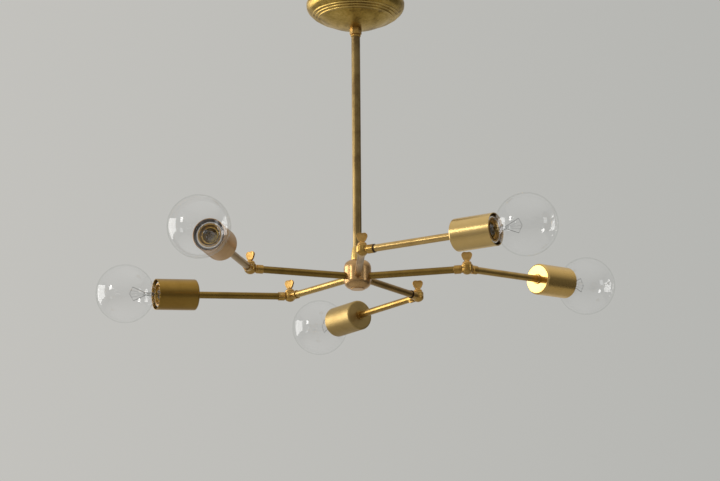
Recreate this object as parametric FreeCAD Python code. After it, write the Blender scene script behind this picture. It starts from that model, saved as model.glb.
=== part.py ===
"""Five-light sputnik chandelier in aged brass.

A stepped canopy hangs a stem, the stem carries a barrel hub, and five arms leave the hub in one
level plane. Each arm has a half-lap swivel with a thumb key, then a second tube with a brass cup,
a porcelain lampholder and a clear globe bulb.

Frame: millimetres, +Z up, origin on the ceiling plane at the canopy's centre.
"""

import FreeCAD
import Part
import math
import os

# ---------------------------------------------------------------- driving dimensions, mm and degrees

# clearances
FIT = 0.1            # radial clearance of a tube or threaded pipe in its socket
RUNNING = 0.06       # radial clearance of the thumb screw in the swivel
LAP_GAP = 0.1        # between the two faces of a half lap, and under the key's foot
CHEEK_GAP = 0.4      # between a swivel disc and the other half's socket
OVERRUN = 1.0        # how far a cut runs on into open space

# canopy, spun from sheet
CANOPY_RADIUS = 67.6
CANOPY_WALL = 1.0
CANOPY_LIP = 3.0     # straight edge against the ceiling
CANOPY_ROUND = 14.0  # radius of the side wall
CANOPY_ROUND_TURN = 60.0
RING_COUNT = 3
FIRST_RING_STEP = 1.2  # from the wall's end in to the first ring
RING_WIDTH = 3.7
RING_DROP = 1.6
RING_FALL = 0.8
DISH_DEPTH = 13.1
DISH_BULGE = 2.8
DISH_FLAT = 9.0      # radius of the flat that the nut bears on

# crossbar and its hardware
STRAP_END = 4.55     # metal beyond each slot
STRAP_WIDTH = 16.0
STRAP_THICKNESS = 1.8
STRAP_OFFSET = 9.0
STRAP_SEAT = 44.0    # length of the lowered middle
STRAP_SLOPE = 8.0    # length of each sloping part
SLOT_SPACING = 88.9
SLOT_LENGTH = 12.0
SLOT_WIDTH = 4.8
LOCK_NUT_FLATS = 15.0
LOCK_NUT_HEIGHT = 4.0
LOCK_NUT_CHAMFER = 0.9
GROUND_SCREW_PLACE = 15.0
GROUND_SCREW_RADIUS = 2.0
GROUND_SCREW_LENGTH = 6.0
GROUND_HEAD_FLATS = 7.0
GROUND_HEAD_HEIGHT = 2.4

# threaded pipe (both nipples)
NIPPLE_RADIUS = 5.0
NIPPLE_BORE = 3.25
NIPPLE_GRIP = 12.0   # length screwed into the stem at either end
NIPPLE_ABOVE_NUT = 1.0

# canopy nut
CANOPY_NUT_FLATS = 14.2
CANOPY_NUT_HEIGHT = 9.6
CANOPY_NUT_CHAMFER = 1.1
NUT_RING_RADIUS = 7.0
NUT_RING_HEIGHT = 3.4

# stem and its collar
STEM_RADIUS = 6.0
STEM_LENGTH = 316.0
COLLAR_HEIGHT = 18.0
COLLAR_TOP_RADIUS = 6.7
COLLAR_FOOT_RADIUS = 8.8
COLLAR_BRIM = 1.0    # straight edge at the foot
COLLAR_HOLLOW = 0.15
COLLAR_EDGE = 0.5

# hub
HUB_RADIUS = 18.5
HUB_BULGE = 0.2
HUB_ABOVE = 22.5     # arm axis to the hub's top
HUB_BELOW = 16.6     # arm axis to the hub's underside
HUB_TOP_RADIUS = 9.2
HUB_BASE_RADIUS = 10.6
HUB_SHOULDER = 11.5  # height of the top rounding
HUB_HEEL = 10.6      # height of the bottom rounding
HUB_TOP_FULLNESS = 0.19   # bulge of the roundings as a share of their chord
HUB_BASE_FULLNESS = 0.17
HUB_CAVITY_RADIUS = 13.2
HUB_ROOF = 9.5       # thickness of metal over the cavity
HUB_FLOOR = 2.6
HUB_CAP_RADIUS = 9.9
HUB_CAP_HEIGHT = 1.2
HUB_PLUG_RADIUS = 8.6

# arms
ARM_COUNT = 5
FIRST_ARM_ANGLE = -85.85   # arm 1, seen from above, counter-clockwise from +X
ARM_RADIUS = 4.75
ARM_BORE = 3.75
SWIVEL_DISTANCE = 151.6    # hub axis to swivel axis
REACH = 136.9              # swivel axis to the back of the cup
REST_SWING = (57.5, 58.9, 69.8, 72.1, 56.4)     # outer arm from straight, per arm
SWIVEL_TILT = (0.8, 3.4, -0.7, -3.3, 0.0)       # how far each swivel is turned on its thread
KEY_TURN = (86.0, 13.9, -58.2, -165.2, -242.2)  # paddle from the inner arm's line, per arm
STOP_RING_RADIUS = 6.7
STOP_RING_WIDTH = 2.0

# swivel
SWIVEL_RADIUS = 7.8
SWIVEL_BELOW = 7.7
SWIVEL_ABOVE = 6.5
SWIVEL_ROUND = 1.9
SWIVEL_SKIRT = 2.7         # straight wall under the lap
CHAMBER_RADIUS = 4.7       # wire space round the screw
CHAMBER_HALF = 2.9
WIRE_HOLE_RADIUS = 2.1
SOCKET_RADIUS = 5.9
SOCKET_LENGTH = 9.2
SOCKET_CHAMFER = 0.9
SOCKET_DEPTH = 6.4

# thumb key
SCREW_RADIUS = 2.4
SCREW_REACH = 5.6          # how far the screw goes below the lap
SCREW_FLOOR = 0.3
FOOT_RADIUS = 6.2
FOOT_EDGE = 0.7
FOOT_HEIGHT = 4.0
FOOT_FLARE = (0.28, 0.36)  # middle of the flare, in shares of the foot's overhang and height
NECK_RADIUS = 2.5
PADDLE_WIDTH = 14.5
PADDLE_HEIGHT = 12.4
PADDLE_LOBE = 4.2          # radius of each lobe
PADDLE_DIP_TURN = 25.0     # where a lobe passes into the dip between the two
PADDLE_THICKNESS = 2.8
PADDLE_ROOT = 2.0          # neck inside the paddle
PADDLE_DISH_RADIUS = 24.0
PADDLE_DISH_DEPTH = 0.55
PADDLE_DISH_LEVEL = 7.2    # middle of the dish above the paddle's root

# cup
CUP_RADIUS = 21.25
CUP_LENGTH = 57.0
CUP_WALL = 1.1
CUP_BACK = 1.5
CUP_EDGE = 2.7

# lampholder
HOLDER_RECESS = 3.0        # its face behind the cup's mouth
HOLDER_LENGTH = 36.0       # wide part
HOLDER_SLOPE = 4.0
HOLDER_BOSS_RADIUS = 8.5
HOLDER_GRIP = 5.0          # how far the arm enters the boss
HOLDER_WALL = 4.0          # porcelain round the screw shell
HOLDER_EDGE = 1.0

# bulb
BASE_RADIUS = 13.0
BASE_GAP = 0.35            # bulb base in the holder
BASE_LENGTH = 27.0
BASE_WALL = 0.5
BASE_SUNK = 1.0            # its open edge behind the holder's face
BASE_SHOULDER = 2.0
BASE_FLOOR = 3.0           # insulator inside the shell, above the ledge
CONTACT_GAP = 0.2
CONTACT_RADIUS = 4.5
CONTACT_HEIGHT = 1.4
CONTACT_EDGE = 1.0
INSULATOR_HEIGHT = 3.2
GLOBE_RADIUS = 40.0
GLASS_WALL = 0.9
NECK_STEP = 1.6
NECK_GLASS_RADIUS = 13.2
NECK_LENGTH = 3.5          # straight part
NECK_TURN = 25.0           # where the neck leaves the sphere, from the bulb's axis
NECK_SEAT = 11.0           # length of neck inside the base
MOUNT_RADIUS = 2.9
MOUNT_LIFT = 1.0           # flare's edge above the neck's foot
MOUNT_TIP = 49.0           # glass stem's end, from the contact
FLARE_HEIGHT = 12.0
FLARE_HOLLOW = 2.0         # depth of its underside
FLARE_EDGE = 1.2
FLARE_MIDDLE = (1.6, 4.8)  # middle of the flare, from the stem's wall and the flare's edge
LEAD_RADIUS = 0.35
LEAD_SINK = 4.0            # wires inside the glass stem
LEAD_SPACING = 2.8         # between the leads where they enter the stem
LEAD_RISE = 14.0
LEAD_SPREAD = 9.5
FILAMENT_RISE = 5.0

# ---------------------------------------------------------------- places worked out from the above

STRAP_LENGTH = SLOT_SPACING + SLOT_LENGTH + 2 * STRAP_END
WALL_END_RADIUS = CANOPY_RADIUS - CANOPY_ROUND * (1 - math.cos(math.radians(CANOPY_ROUND_TURN)))
WALL_END_DEPTH = CANOPY_LIP + CANOPY_ROUND * math.sin(math.radians(CANOPY_ROUND_TURN))
RINGS_DEPTH = WALL_END_DEPTH + RING_COUNT * (RING_DROP + RING_FALL)
CANOPY_DEPTH = RINGS_DEPTH + DISH_DEPTH
STEM_TOP = -(CANOPY_DEPTH + CANOPY_NUT_HEIGHT + NUT_RING_HEIGHT)
HUB_TOP = STEM_TOP - STEM_LENGTH
ARM_LEVEL = HUB_TOP - HUB_ABOVE
CHEEK_RADIUS = SWIVEL_RADIUS + CHEEK_GAP
SOCKET_END = CHEEK_RADIUS + SOCKET_LENGTH
TUBE_SEAT = SOCKET_END - SOCKET_DEPTH
CUP_MOUTH = REACH + CUP_LENGTH
HOLDER_FACE = CUP_MOUTH - HOLDER_RECESS
HOLDER_RADIUS = BASE_RADIUS + BASE_GAP + HOLDER_WALL
BULB_FOOT = HOLDER_FACE - BASE_SUNK - BASE_LENGTH
NECK_SINE = math.sin(math.radians(NECK_TURN))
NECK_COSINE = math.cos(math.radians(NECK_TURN))
NECK_BEND = (GLOBE_RADIUS * NECK_SINE - NECK_GLASS_RADIUS) / (1 - NECK_SINE)
NECK_END = BASE_LENGTH + NECK_STEP + NECK_LENGTH
GLOBE_CENTRE = NECK_END + (GLOBE_RADIUS + NECK_BEND) * NECK_COSINE
CORNER = 1 - math.sqrt(0.5)   # from a quarter round's middle to its bounding lines, per radius


# ---------------------------------------------------------------- small helpers

def point(r, z):
    return FreeCAD.Vector(r, 0, z)


def outline(steps):
    """Closed wire in the XZ plane. A step is an end point, or (through, end) for an arc."""
    edges = []
    here = point(*steps[0])
    for step in list(steps[1:]) + [steps[0]]:
        if isinstance(step[0], tuple):
            end = point(*step[1])
            edges.append(Part.Arc(here, point(*step[0]), end).toShape())
        else:
            end = point(*step)
            edges.append(Part.LineSegment(here, end).toShape())
        here = end
    return Part.Wire(edges)


def turned(*steps):
    """Solid of revolution about Z from a closed outline of (radius, height) steps."""
    solid = Part.Face(outline(steps)).revolve(FreeCAD.Vector(), FreeCAD.Vector(0, 0, 1), 360)
    return solid if solid.Volume > 0 else solid.reversed()


def dome_middle(edge, pole):
    """A point half way along the arc from (radius, height) to (0, pole) that crosses the axis squarely."""
    r, z = edge
    centre = (r * r + z * z - pole * pole) / (2 * (z - pole))
    radius = abs(pole - centre)
    half = math.atan2(r, abs(z - centre)) / 2 if (z - centre) * (pole - centre) > 0 else math.pi / 4
    side = 1 if pole > centre else -1
    return (radius * math.sin(half), centre + side * radius * math.cos(half))


def rod(radius, low, high):
    return Part.makeCylinder(radius, high - low, FreeCAD.Vector(0, 0, low))


def hexagon(flats, low, high):
    """Hexagonal prism on Z with two corners on the X axis."""
    corner = flats / math.sqrt(3)
    turns = [math.radians(60 * k) for k in range(7)]
    ring = [FreeCAD.Vector(corner * math.cos(t), corner * math.sin(t), low) for t in turns]
    return Part.Face(Part.makePolygon(ring)).extrude(FreeCAD.Vector(0, 0, high - low))


def nut(flats, low, high, bore, chamfer):
    """Hexagon nut with both faces chamfered by a cone, as turned bar stock is."""
    corner = flats / math.sqrt(3)
    crown = turned((0, low), (corner - chamfer, low), (corner, low + chamfer / 2),
                   (corner, high - chamfer / 2), (corner - chamfer, high), (0, high))
    return hexagon(flats, low, high).common(crown).cut(rod(bore, low, high))


def turn_about(axis, degrees):
    return FreeCAD.Placement(FreeCAD.Vector(), FreeCAD.Rotation(FreeCAD.Vector(*axis), degrees))


def shift(x, y, z):
    return FreeCAD.Placement(FreeCAD.Vector(x, y, z), FreeCAD.Rotation())


LIE_ALONG_X = turn_about((0, 1, 0), 90)


def moved(shape, placement):
    copy = shape.copy()
    copy.Placement = placement.multiply(copy.Placement)
    return copy


def export(name, *shapes):
    whole = shapes[0] if len(shapes) == 1 else Part.makeCompound(list(shapes))
    whole.exportStep("parts/" + name + ".step")
    print(name, len(whole.Solids), round(whole.Volume, 1), whole.isValid())


# ---------------------------------------------------------------- canopy and ceiling hardware

def canopy_line(inset):
    """Rim to centre along the outside (inset 0) or the inside (inset = wall) of the canopy."""
    radius = CANOPY_ROUND - inset
    centre = CANOPY_RADIUS - CANOPY_ROUND
    half, full = (math.radians(CANOPY_ROUND_TURN * k) for k in (0.5, 1.0))
    line = [(CANOPY_RADIUS - inset, 0.0), (CANOPY_RADIUS - inset, -CANOPY_LIP)]
    line.append(((centre + radius * math.cos(half), -CANOPY_LIP - radius * math.sin(half)),
                 (centre + radius * math.cos(full), -CANOPY_LIP - radius * math.sin(full))))
    edge = WALL_END_RADIUS - FIRST_RING_STEP
    depth = WALL_END_DEPTH
    for _ in range(RING_COUNT):
        line.append((edge - inset, -depth - RING_FALL / 2 + inset))
        depth += RING_DROP
        line.append((edge - inset, -depth - RING_FALL / 2 + inset))
        depth += RING_FALL
        edge -= RING_WIDTH
    middle = ((edge + DISH_FLAT) / 2, -(RINGS_DEPTH + CANOPY_DEPTH) / 2 - DISH_BULGE + inset)
    line.append((edge - inset, -RINGS_DEPTH + inset))
    line.append((middle, (DISH_FLAT, -CANOPY_DEPTH + inset)))
    line.append((NIPPLE_RADIUS + 2 * FIT, -CANOPY_DEPTH + inset))
    return line


def reverse_line(line):
    """The same path walked from its last point back to its first."""
    ends = [step[1] if isinstance(step[0], tuple) else step for step in line]
    back = [ends[-1]]
    for k in range(len(line) - 1, 0, -1):
        arc = isinstance(line[k][0], tuple)
        back.append((line[k][0], ends[k - 1]) if arc else ends[k - 1])
    return back


def make_canopy():
    return turned(*(canopy_line(0.0) + reverse_line(canopy_line(CANOPY_WALL))))


def make_crossbar():
    """Bent steel strap: slotted ends on the ceiling, middle lowered to clear the nipple."""
    seat = STRAP_SEAT / 2
    end = STRAP_LENGTH / 2
    top = [(-end, 0), (-seat - STRAP_SLOPE, 0), (-seat, -STRAP_OFFSET),
           (seat, -STRAP_OFFSET), (seat + STRAP_SLOPE, 0), (end, 0)]
    under = [(x, z - STRAP_THICKNESS) for x, z in reversed(top)]
    strap = Part.Face(outline(top + under)).extrude(FreeCAD.Vector(0, STRAP_WIDTH, 0))
    strap = moved(strap, shift(0, -STRAP_WIDTH / 2, 0))
    low = -STRAP_OFFSET - STRAP_THICKNESS
    strap = strap.cut(rod(NIPPLE_RADIUS + FIT, low, -STRAP_OFFSET))
    strap = strap.cut(moved(rod(GROUND_SCREW_RADIUS + FIT, low, -STRAP_OFFSET),
                            shift(GROUND_SCREW_PLACE, 0, 0)))
    straight = SLOT_LENGTH - SLOT_WIDTH
    for side in (-1, 1):
        centre = side * SLOT_SPACING / 2
        slot = Part.makeBox(straight, SLOT_WIDTH, STRAP_THICKNESS,
                            FreeCAD.Vector(centre - straight / 2, -SLOT_WIDTH / 2, -STRAP_THICKNESS))
        for edge in (-1, 1):
            round_end = rod(SLOT_WIDTH / 2, -STRAP_THICKNESS, 0)
            slot = slot.fuse(moved(round_end, shift(centre + edge * straight / 2, 0, 0)))
        strap = strap.cut(slot)
    corners = [e for e in strap.Edges if abs(abs(e.CenterOfMass.x) - end) < 0.01
               and abs(e.tangentAt(e.FirstParameter).z) > 0.99]
    return strap.makeFillet(STRAP_WIDTH / 3, corners)


def make_nipples():
    """Threaded pipes: crossbar to stem, and stem to hub."""
    top = -STRAP_OFFSET + LOCK_NUT_HEIGHT + NIPPLE_ABOVE_NUT
    spans = ((STEM_TOP - NIPPLE_GRIP, top),
             (HUB_TOP - HUB_ROOF - NIPPLE_ABOVE_NUT, HUB_TOP + NIPPLE_GRIP))
    pipes = []
    for low, high in spans:
        pipes.append(rod(NIPPLE_RADIUS, low, high).cut(rod(NIPPLE_BORE, low, high)))
    return pipes


def make_lock_nuts():
    bore = NIPPLE_RADIUS + FIT
    under = -STRAP_OFFSET - STRAP_THICKNESS
    spans = ((-STRAP_OFFSET, -STRAP_OFFSET + LOCK_NUT_HEIGHT), (under - LOCK_NUT_HEIGHT, under))
    return [nut(LOCK_NUT_FLATS, low, high, bore, LOCK_NUT_CHAMFER) for low, high in spans]


def make_ground_screw():
    under = -STRAP_OFFSET - STRAP_THICKNESS
    head = hexagon(GROUND_HEAD_FLATS, under - GROUND_HEAD_HEIGHT, under)
    shank = rod(GROUND_SCREW_RADIUS, under, under + GROUND_SCREW_LENGTH)
    return moved(head.fuse(shank), shift(GROUND_SCREW_PLACE, 0, 0))


def make_canopy_nut():
    """Chamfered hexagon with a plain ring below it, bored for the nipple."""
    low = -CANOPY_DEPTH - CANOPY_NUT_HEIGHT
    bore = NIPPLE_RADIUS + FIT
    body = nut(CANOPY_NUT_FLATS, low, -CANOPY_DEPTH, bore, CANOPY_NUT_CHAMFER)
    edge = NUT_RING_HEIGHT / 4
    ring = turned((bore, STEM_TOP), (NUT_RING_RADIUS - edge, STEM_TOP),
                  (NUT_RING_RADIUS, STEM_TOP + edge), (NUT_RING_RADIUS, low - edge),
                  (NUT_RING_RADIUS - edge, low), (bore, low))
    return body.fuse(ring)


# ---------------------------------------------------------------- stem and hub

def make_stem():
    bore = NIPPLE_RADIUS + FIT
    return rod(STEM_RADIUS, HUB_TOP, STEM_TOP).cut(rod(bore, HUB_TOP, STEM_TOP))


def make_collar():
    """Tapered sleeve round the stem's foot, slightly hollow in its flank."""
    bore = STEM_RADIUS + FIT
    top = HUB_TOP + COLLAR_HEIGHT
    waist = (COLLAR_TOP_RADIUS + COLLAR_FOOT_RADIUS) / 2 - COLLAR_HOLLOW
    brim = HUB_TOP + COLLAR_BRIM
    return turned((bore, HUB_TOP), (COLLAR_FOOT_RADIUS, HUB_TOP), (COLLAR_FOOT_RADIUS, brim),
                  ((waist, HUB_TOP + COLLAR_HEIGHT / 2), (COLLAR_TOP_RADIUS, top - COLLAR_EDGE)),
                  (COLLAR_TOP_RADIUS - COLLAR_EDGE, top), (bore, top))


def rounded_flank(start, end, fullness):
    """Mid point of a shoulder's arc, pushed outward from the chord by a share of its length."""
    (r0, z0), (r1, z1) = start, end
    return ((r0 + r1) / 2 + (z0 - z1) * fullness, (z0 + z1) / 2 + (r1 - r0) * fullness)


def make_hub():
    top = (HUB_TOP_RADIUS, HUB_ABOVE)
    shoulder = (HUB_RADIUS, HUB_ABOVE - HUB_SHOULDER)
    heel = (HUB_RADIUS, -HUB_BELOW + HUB_HEEL)
    base = (HUB_BASE_RADIUS, -HUB_BELOW)
    middle = (HUB_RADIUS + HUB_BULGE, (shoulder[1] + heel[1]) / 2)
    body = turned((0, HUB_ABOVE), top, (rounded_flank(top, shoulder, HUB_TOP_FULLNESS), shoulder),
                  (middle, heel), (rounded_flank(heel, base, HUB_BASE_FULLNESS), base), (0, -HUB_BELOW))
    body = body.cut(rod(HUB_CAVITY_RADIUS, -HUB_BELOW + HUB_FLOOR, HUB_ABOVE - HUB_ROOF))
    body = body.cut(rod(NIPPLE_RADIUS + FIT, 0, HUB_ABOVE))
    body = body.cut(rod(HUB_PLUG_RADIUS + FIT, -HUB_BELOW, 0))
    for n in range(ARM_COUNT):
        socket = moved(rod(ARM_RADIUS + FIT, 0, 2 * HUB_RADIUS), LIE_ALONG_X)
        body = body.cut(moved(socket, turn_about((0, 0, 1), arm_angle(n))))
    return moved(body, shift(0, 0, ARM_LEVEL))


def make_hub_cap():
    """Flat disc with a plug that screws into the hub's floor."""
    edge = HUB_CAP_HEIGHT / 2
    low = -HUB_BELOW - HUB_CAP_HEIGHT
    cap = turned((0, low), (HUB_CAP_RADIUS - edge, low),
                 ((HUB_CAP_RADIUS - CORNER * edge, low + CORNER * edge), (HUB_CAP_RADIUS, low + edge)),
                 (HUB_CAP_RADIUS, -HUB_BELOW), (HUB_PLUG_RADIUS, -HUB_BELOW),
                 (HUB_PLUG_RADIUS, -HUB_BELOW + HUB_FLOOR), (0, -HUB_BELOW + HUB_FLOOR))
    return moved(cap, shift(0, 0, ARM_LEVEL))


# ---------------------------------------------------------------- arm pieces, each in its own frame
# Inner tube: hub axis at the origin, arm along +X.
# Swivel: its own centre at the origin, swivel axis along Z, inner tube along -X, outer along +X.

def arm_angle(n):
    return FIRST_ARM_ANGLE + 360.0 * n / ARM_COUNT


def make_inner_arm():
    start = HUB_CAVITY_RADIUS
    end = SWIVEL_DISTANCE - TUBE_SEAT
    tube = rod(ARM_RADIUS, start, end).cut(rod(ARM_BORE, start, end))
    return moved(tube, LIE_ALONG_X)


def tube_socket():
    """Collar of a swivel half along +X from the swivel axis, chamfered at both ends."""
    c = SOCKET_CHAMFER
    inner = (SWIVEL_RADIUS + CHEEK_RADIUS) / 2
    collar = turned((0, 0), (SOCKET_RADIUS - c, 0), (SOCKET_RADIUS - c, inner), (SOCKET_RADIUS, inner + c),
                    (SOCKET_RADIUS, SOCKET_END - c / 2), (SOCKET_RADIUS - c / 2, SOCKET_END), (0, SOCKET_END))
    return moved(collar, LIE_ALONG_X)


def socket_bores():
    """Seat of the tube, and the wire hole from it to the chamber round the screw."""
    seat = rod(ARM_RADIUS + FIT, TUBE_SEAT, SOCKET_END)
    wires = rod(WIRE_HOLE_RADIUS, CHAMBER_RADIUS - OVERRUN, TUBE_SEAT)
    return moved(seat.fuse(wires), LIE_ALONG_X)


def make_swivel_half(upper):
    """Half-lap disc with its socket along +X. The lower half is turned round by its user."""
    gap = LAP_GAP / 2
    if upper:
        top = SWIVEL_ABOVE
        r = SWIVEL_ROUND
        corner = (SWIVEL_RADIUS - r * CORNER, top - r * CORNER)
        disc = turned((0, gap), (SWIVEL_RADIUS, gap), (SWIVEL_RADIUS, top - r),
                      (corner, (SWIVEL_RADIUS - r, top)), (0, top))
        cheek = rod(CHEEK_RADIUS, -SWIVEL_BELOW - OVERRUN, gap)
        hole = rod(SCREW_RADIUS + RUNNING, gap, top).fuse(rod(CHAMBER_RADIUS, gap, CHAMBER_HALF))
    else:
        bowl = (SWIVEL_RADIUS, -SWIVEL_SKIRT)
        disc = turned((0, -gap), (SWIVEL_RADIUS, -gap), bowl,
                      (dome_middle(bowl, -SWIVEL_BELOW), (0, -SWIVEL_BELOW)))
        cheek = rod(CHEEK_RADIUS, -gap, SWIVEL_ABOVE + OVERRUN)
        hole = rod(SCREW_RADIUS + RUNNING, -SCREW_REACH - SCREW_FLOOR, -gap)
        hole = hole.fuse(rod(CHAMBER_RADIUS, -CHAMBER_HALF, -gap))
    half = disc.fuse(tube_socket()).cut(cheek).cut(hole).cut(socket_bores())
    return half.removeSplitter()


def paddle_side():
    """Right half of the paddle's outline: straight flank, round lobe and dip, each tangent to the next."""
    lobe = PADDLE_LOBE
    x, z = PADDLE_WIDTH / 2 - lobe, PADDLE_HEIGHT - lobe
    foot = math.hypot(x - NECK_RADIUS, z)
    low = math.atan2(-z, NECK_RADIUS - x) + math.acos(lobe / foot)
    turn = math.radians(PADDLE_DIP_TURN)
    high = math.pi / 2 + turn
    dip = x / math.sin(turn) - lobe
    above = z + x / math.tan(turn)
    on_lobe = [(x + lobe * math.cos(t), z + lobe * math.sin(t)) for t in (low, (low + high) / 2, high)]
    in_dip = (dip * math.sin(turn / 2), above - dip * math.cos(turn / 2))
    return [(NECK_RADIUS, 0), on_lobe[0], (on_lobe[1], on_lobe[2]), (in_dip, (0, above - dip))]


def make_thumb_key():
    """Clamping screw, flared foot, neck and a dished two-lobed paddle across X."""
    under = SWIVEL_ABOVE + LAP_GAP
    brim = under + FOOT_EDGE
    neck = under + FOOT_HEIGHT
    flank = (NECK_RADIUS + FOOT_FLARE[0] * (FOOT_RADIUS - NECK_RADIUS), brim + FOOT_FLARE[1] * (neck - brim))
    stalk = turned((0, -SCREW_REACH), (SCREW_RADIUS, -SCREW_REACH), (SCREW_RADIUS, under),
                   (FOOT_RADIUS, under), (FOOT_RADIUS, brim), (flank, (NECK_RADIUS, neck)),
                   (NECK_RADIUS, neck + PADDLE_ROOT), (0, neck + PADDLE_ROOT))
    right = paddle_side()
    left = reverse_line([mirror(step) for step in right])
    blank = Part.Face(outline(right + left[1:])).extrude(FreeCAD.Vector(0, PADDLE_THICKNESS, 0))
    paddle = moved(blank, shift(0, -PADDLE_THICKNESS / 2, neck))
    for side in (-1, 1):
        away = side * (PADDLE_THICKNESS / 2 + PADDLE_DISH_RADIUS - PADDLE_DISH_DEPTH)
        ball = Part.makeSphere(PADDLE_DISH_RADIUS, FreeCAD.Vector(0, away, neck + PADDLE_DISH_LEVEL))
        paddle = paddle.cut(ball)
    return stalk.fuse(paddle).removeSplitter()


def mirror(step):
    """A step of an outline reflected in the Z axis."""
    if isinstance(step[0], tuple):
        return tuple((-r, z) for r, z in step)
    return (-step[0], step[1])


def make_outer_arm():
    """Tube from the swivel into the lampholder, with the stop ring behind the cup."""
    end = REACH + CUP_BACK + HOLDER_GRIP
    tube = rod(ARM_RADIUS, TUBE_SEAT, end)
    ring = rod(STOP_RING_RADIUS, REACH - STOP_RING_WIDTH, REACH)
    return moved(tube.fuse(ring).cut(rod(ARM_BORE, TUBE_SEAT, end)), LIE_ALONG_X)


def make_cup():
    """Drawn cylinder with a closed back and an open mouth."""
    r, t, e = CUP_RADIUS, CUP_WALL, CUP_EDGE
    inner = e - t
    cup = turned((ARM_RADIUS + 2 * FIT, REACH), (r - e, REACH),
                 (quarter(r - e, REACH + e, e), (r, REACH + e)),
                 (r, CUP_MOUTH), (r - t, CUP_MOUTH), (r - t, REACH + CUP_BACK + inner),
                 (quarter(r - e, REACH + CUP_BACK + inner, inner), (r - e, REACH + CUP_BACK)),
                 (ARM_RADIUS + 2 * FIT, REACH + CUP_BACK))
    return moved(cup, LIE_ALONG_X)


def quarter(r, z, radius):
    """Middle of a quarter round whose centre is (r, z), on its outer lower side."""
    return (r + radius * math.sqrt(0.5), z - radius * math.sqrt(0.5))


def make_lampholder():
    """Porcelain body: boss on the arm's end, cone, then the wide part with the screw shell's well."""
    back = REACH + CUP_BACK
    wide = HOLDER_FACE - HOLDER_LENGTH
    well = BASE_RADIUS + BASE_GAP
    e = HOLDER_EDGE
    body = turned((0, back), (HOLDER_BOSS_RADIUS, back), (HOLDER_BOSS_RADIUS, wide - HOLDER_SLOPE),
                  (HOLDER_RADIUS, wide), (HOLDER_RADIUS, HOLDER_FACE - e),
                  ((HOLDER_RADIUS - CORNER * e, HOLDER_FACE - CORNER * e), (HOLDER_RADIUS - e, HOLDER_FACE)),
                  (0, HOLDER_FACE))
    body = body.cut(rod(well, BULB_FOOT, HOLDER_FACE))
    body = body.cut(rod(ARM_RADIUS + FIT, back, back + HOLDER_GRIP))
    body = body.cut(rod(WIRE_HOLE_RADIUS, back, BULB_FOOT))
    return moved(body, LIE_ALONG_X)


# ---------------------------------------------------------------- bulb, standing on its contact at Z 0

def make_bulb_base():
    """Screw shell, insulator cone and contact button."""
    r, t = BASE_RADIUS, BASE_WALL
    ledge = CONTACT_HEIGHT + INSULATOR_HEIGHT
    floor = ledge + BASE_FLOOR
    return turned((0, CONTACT_GAP), (CONTACT_RADIUS - CONTACT_EDGE, CONTACT_GAP),
                  (CONTACT_RADIUS, CONTACT_HEIGHT), (r - BASE_SHOULDER, ledge),
                  (r, ledge + BASE_SHOULDER), (r, BASE_LENGTH), (r - t, BASE_LENGTH),
                  (r - t, floor), (0, floor))


def glass_line(inset):
    """Neck foot to the globe's crown along the outside (inset 0) or inside of the glass."""
    globe = GLOBE_RADIUS - inset
    bend = NECK_BEND + inset
    neck = NECK_GLASS_RADIUS - inset
    seat = BASE_RADIUS - BASE_WALL - BASE_GAP - inset
    half = math.radians(90 - NECK_TURN) / 2
    in_bend = (neck + bend * (1 - math.cos(half)), NECK_END + bend * math.sin(half))
    join = (globe * NECK_SINE, GLOBE_CENTRE - globe * NECK_COSINE)
    shoulder = (globe * NECK_COSINE, GLOBE_CENTRE + globe * NECK_SINE)
    return [(seat, BASE_LENGTH - NECK_SEAT), (seat, BASE_LENGTH),
            (neck, BASE_LENGTH + NECK_STEP), (neck, NECK_END), (in_bend, join),
            ((globe, GLOBE_CENTRE), shoulder),
            ((globe * NECK_SINE, GLOBE_CENTRE + globe * NECK_COSINE), (0, GLOBE_CENTRE + globe))]


def make_bulb_glass():
    return turned(*(glass_line(0.0) + reverse_line(glass_line(GLASS_WALL))))


def wire(*points):
    """Round wire through the points, as straight rods with ball joints."""
    places = [FreeCAD.Vector(*p) for p in points]
    whole = Part.makeSphere(LEAD_RADIUS, places[0])
    for a, b in zip(places, places[1:]):
        whole = whole.fuse(Part.makeCylinder(LEAD_RADIUS, (b - a).Length, a, b - a))
        whole = whole.fuse(Part.makeSphere(LEAD_RADIUS, b))
    return whole


def make_bulb_mount():
    """Flared glass stem, two leads and a support spread above it, and the filament between them."""
    foot = BASE_LENGTH - NECK_SEAT + MOUNT_LIFT
    skirt = BASE_RADIUS - BASE_WALL - BASE_GAP - GLASS_WALL - BASE_GAP
    r = MOUNT_RADIUS
    out, up = FLARE_MIDDLE
    mount = turned((0, foot + FLARE_HOLLOW), (skirt - FLARE_EDGE, foot), (skirt, foot),
                   ((r + out, foot + up), (r, foot + FLARE_HEIGHT)),
                   (r, MOUNT_TIP - r), (dome_middle((r, MOUNT_TIP - r), MOUNT_TIP), (0, MOUNT_TIP)))
    root = MOUNT_TIP - LEAD_SINK
    tip = MOUNT_TIP + LEAD_RISE
    middle = (0, 0, tip + FILAMENT_RISE)
    ends = [(side * LEAD_SPREAD, 0, tip) for side in (-1, 1)]
    wires = [wire((side * LEAD_SPACING / 2, 0, root), end) for side, end in zip((-1, 1), ends)]
    wires += [wire((0, 0, root), middle), wire(ends[0], middle, ends[1])]
    for piece in wires:
        mount = mount.fuse(piece)
    return mount


# ---------------------------------------------------------------- build

os.makedirs("parts", exist_ok=True)

export("canopy", make_canopy())
export("crossbar", make_crossbar())
export("threaded_nipples", *make_nipples())
export("lock_nuts", *make_lock_nuts())
export("ground_screw", make_ground_screw())
export("canopy_nut", make_canopy_nut())
export("stem", make_stem())
export("stem_collar", make_collar())
export("hub", make_hub())
export("hub_cap", make_hub_cap())

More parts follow.
